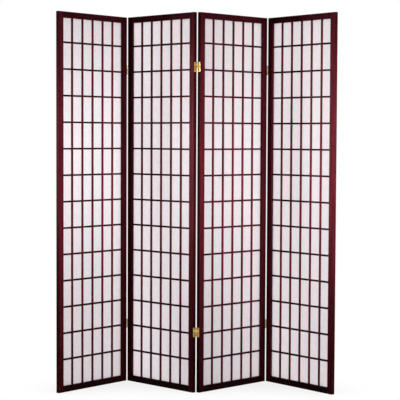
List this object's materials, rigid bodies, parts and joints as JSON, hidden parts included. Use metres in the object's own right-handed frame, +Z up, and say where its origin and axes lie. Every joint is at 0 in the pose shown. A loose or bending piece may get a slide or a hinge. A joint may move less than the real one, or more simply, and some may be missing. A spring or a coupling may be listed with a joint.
{
  "type": "folding shoji screen",
  "caption": "Free-standing folding screen of tall lacquered wood panels with a fine lattice over paper, hinged edge to edge and standing in a zigzag to divide a room.",
  "frame": {"origin": "middle of the screen's outline on the floor that it stands on", "axes": "+Z up, -Y towards the viewer on the lattice side, +X to that viewer's right"},
  "size_m": [1.302, 0.3542, 1.78],
  "materials": {
    "frame_wood": "dark cherry stain under satin lacquer",
    "lattice_wood": "dark cherry stain under satin lacquer",
    "bead_wood": "dark cherry stain under satin lacquer",
    "dowel_wood": "bare beech",
    "shoji_paper": "matt white paper with long fibres",
    "hinge_brass": "bright rolled brass"
  },
  "bodies": {
    "panel_1": {"left_lower_hinge_left_leaf": "hinge_brass", "left_lower_hinge_pin": "hinge_brass", "left_upper_hinge_left_leaf": "hinge_brass", "left_upper_hinge_pin": "hinge_brass", "panel_1_bottom_rail": "frame_wood", "panel_1_cross_bars": "lattice_wood", "panel_1_dowels": "dowel_wood", "panel_1_hinge_screws": "hinge_brass", "panel_1_left_stile": "frame_wood", "panel_1_paper": "shoji_paper", "panel_1_paper_beads": "bead_wood", "panel_1_right_stile": "frame_wood", "panel_1_top_rail": "frame_wood", "panel_1_upright_bars": "lattice_wood"},
    "panel_2": {"left_lower_hinge_right_leaf": "hinge_brass", "left_upper_hinge_right_leaf": "hinge_brass", "middle_lower_hinge_left_leaf": "hinge_brass", "middle_lower_hinge_pin": "hinge_brass", "middle_upper_hinge_left_leaf": "hinge_brass", "middle_upper_hinge_pin": "hinge_brass", "panel_2_bottom_rail": "frame_wood", "panel_2_cross_bars": "lattice_wood", "panel_2_dowels": "dowel_wood", "panel_2_hinge_screws": "hinge_brass", "panel_2_left_stile": "frame_wood", "panel_2_paper": "shoji_paper", "panel_2_paper_beads": "bead_wood", "panel_2_right_stile": "frame_wood", "panel_2_top_rail": "frame_wood", "panel_2_upright_bars": "lattice_wood"},
    "panel_3": {"middle_lower_hinge_right_leaf": "hinge_brass", "middle_upper_hinge_right_leaf": "hinge_brass", "panel_3_bottom_rail": "frame_wood", "panel_3_cross_bars": "lattice_wood", "panel_3_dowels": "dowel_wood", "panel_3_hinge_screws": "hinge_brass", "panel_3_left_stile": "frame_wood", "panel_3_paper": "shoji_paper", "panel_3_paper_beads": "bead_wood", "panel_3_right_stile": "frame_wood", "panel_3_top_rail": "frame_wood", "panel_3_upright_bars": "lattice_wood", "right_lower_hinge_left_leaf": "hinge_brass", "right_lower_hinge_pin": "hinge_brass", "right_upper_hinge_left_leaf": "hinge_brass", "right_upper_hinge_pin": "hinge_brass"},
    "panel_4": {"panel_4_bottom_rail": "frame_wood", "panel_4_cross_bars": "lattice_wood", "panel_4_dowels": "dowel_wood", "panel_4_hinge_screws": "hinge_brass", "panel_4_left_stile": "frame_wood", "panel_4_paper": "shoji_paper", "panel_4_paper_beads": "bead_wood", "panel_4_right_stile": "frame_wood", "panel_4_top_rail": "frame_wood", "panel_4_upright_bars": "lattice_wood", "right_lower_hinge_right_leaf": "hinge_brass", "right_upper_hinge_right_leaf": "hinge_brass"}
  },
  "joints": [
    {"name": "left_fold", "type": "hinge", "parent": "panel_2", "child": "panel_1", "pos_m": [-0.33738, 0.16371, 0], "axis": [0, 0, 1], "range_deg": [-91.5, 88.5]},
    {"name": "middle_fold", "type": "hinge", "parent": "panel_2", "child": "panel_3", "pos_m": [0.00266, -0.12893, 0], "axis": [0, 0, 1], "range_deg": [-86.5, 93.5]},
    {"name": "right_fold", "type": "hinge", "parent": "panel_3", "child": "panel_4", "pos_m": [0.34525, 0.16073, 0], "axis": [0, 0, 1], "range_deg": [-87.6, 92.4]}
  ]
}
